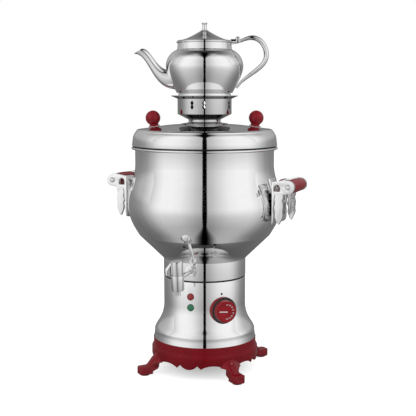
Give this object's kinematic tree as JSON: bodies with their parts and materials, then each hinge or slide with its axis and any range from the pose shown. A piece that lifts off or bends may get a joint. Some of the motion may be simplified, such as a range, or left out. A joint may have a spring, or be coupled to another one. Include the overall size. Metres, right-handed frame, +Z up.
{
  "type": "samovar",
  "caption": "Electric samovar: a round steel boiler on a bell-shaped housing with a tap, a dial and side handles, and a teapot on a vented crown.",
  "frame": {"origin": "on the body's axis at the height of the table, midway between the feet", "axes": "+Z up, the tap points along -Y, +X to the right of somebody facing the tap"},
  "size_m": [0.3718, 0.2921, 0.63],
  "materials": {
    "polished_steel": "mirror-polished stainless sheet",
    "bright_castings": "bright plated castings",
    "red_plastic": "glossy deep crimson",
    "black_rubber": "matt black",
    "plated_steel": "plated fasteners",
    "coated_sheet": "grey coated sheet",
    "black_plastic": "satin black",
    "cream_plastic": "cream moulding",
    "wire_cover": "blue wire cover",
    "red_lens": "clear red lens",
    "green_lens": "clear green lens",
    "copper_tube": "bare copper",
    "satin_sheet": "satin sheet",
    "heater_sheath": "dull sheath",
    "brass_fittings": "bare brass"
  },
  "bodies": {
    "samovar": {"base_ring": "red_plastic", "leg_front_left": "red_plastic", "leg_front_right": "red_plastic", "leg_back_left": "red_plastic", "leg_back_right": "red_plastic", "foot_pads": "black_rubber", "base_screws": "plated_steel", "bottom_plate": "coated_sheet", "bell_housing": "polished_steel", "seam_gasket": "black_rubber", "mains_inlet": "black_plastic", "inlet_pins": "plated_steel", "inlet_screws": "plated_steel", "terminal_block": "cream_plastic", "wiring": "wire_cover", "red_lamp_lens": "red_lens", "green_lamp_lens": "green_lens", "lamp_bodies": "cream_plastic", "thermostat_body": "cream_plastic", "thermostat_nut": "plated_steel", "dial_bezel": "red_plastic", "thermostat_bulb": "copper_tube", "heat_shield": "satin_sheet", "clamp_rod": "plated_steel", "boiler_neck": "polished_steel", "boiler_cone": "polished_steel", "boiler_bowl": "polished_steel", "heater_element": "heater_sheath", "heater_glands": "brass_fittings", "tap_flange": "bright_castings", "tap_pipe": "bright_castings", "tap_barrel": "bright_castings", "bracket_left_front": "bright_castings", "bracket_left_back": "bright_castings", "bracket_right_front": "bright_castings", "bracket_right_back": "bright_castings", "grip_left": "red_plastic", "grip_right": "red_plastic", "grip_rods": "plated_steel", "bracket_screws": "plated_steel"},
    "tap_key": {"tap_key": "bright_castings", "tap_seals": "black_rubber"},
    "dial": {"dial_knob": "red_plastic", "thermostat_shaft": "plated_steel"},
    "lid": {"lid_shell": "polished_steel", "lid_seal": "black_rubber", "lid_knob_left": "red_plastic", "lid_knob_right": "red_plastic", "lid_knob_screws": "plated_steel"},
    "crown": {"crown_drum": "polished_steel", "crown_tray": "polished_steel", "steam_plate": "satin_sheet"},
    "teapot": {"teapot_body": "polished_steel", "teapot_spout": "polished_steel", "teapot_handle": "polished_steel", "hinge_pin": "plated_steel"},
    "teapot_lid": {"teapot_lid": "polished_steel", "teapot_finial": "polished_steel", "thumb_ball": "polished_steel"}
  },
  "joints": [
    {"name": "tap_turn", "type": "hinge", "parent": "samovar", "child": "tap_key", "pos_m": [0, -0.1385, 0.1926], "axis": [0, -0.1045, 0.9945], "range_deg": [0, 90]},
    {"name": "dial_turn", "type": "hinge", "parent": "samovar", "child": "dial", "pos_m": [0.05607, -0.05706, 0.1223], "axis": [-0.7009, 0.7133, 0], "range_deg": [0, 270]},
    {"name": "lid_lift", "type": "slide", "parent": "samovar", "child": "lid", "axis": [0, 0, 1], "range_m": [0, 0.12]},
    {"name": "crown_lift", "type": "slide", "parent": "lid", "child": "crown", "axis": [0, 0, 1], "range_m": [0, 0.08]},
    {"name": "teapot_lift", "type": "slide", "parent": "crown", "child": "teapot", "axis": [0, 0, 1], "range_m": [0, 0.12]},
    {"name": "teapot_lid_hinge", "type": "hinge", "parent": "teapot", "child": "teapot_lid", "pos_m": [0.05599, 0.01983, 0.6012], "axis": [-0.3338, 0.9426, 0], "range_deg": [0, 95]}
  ]
}
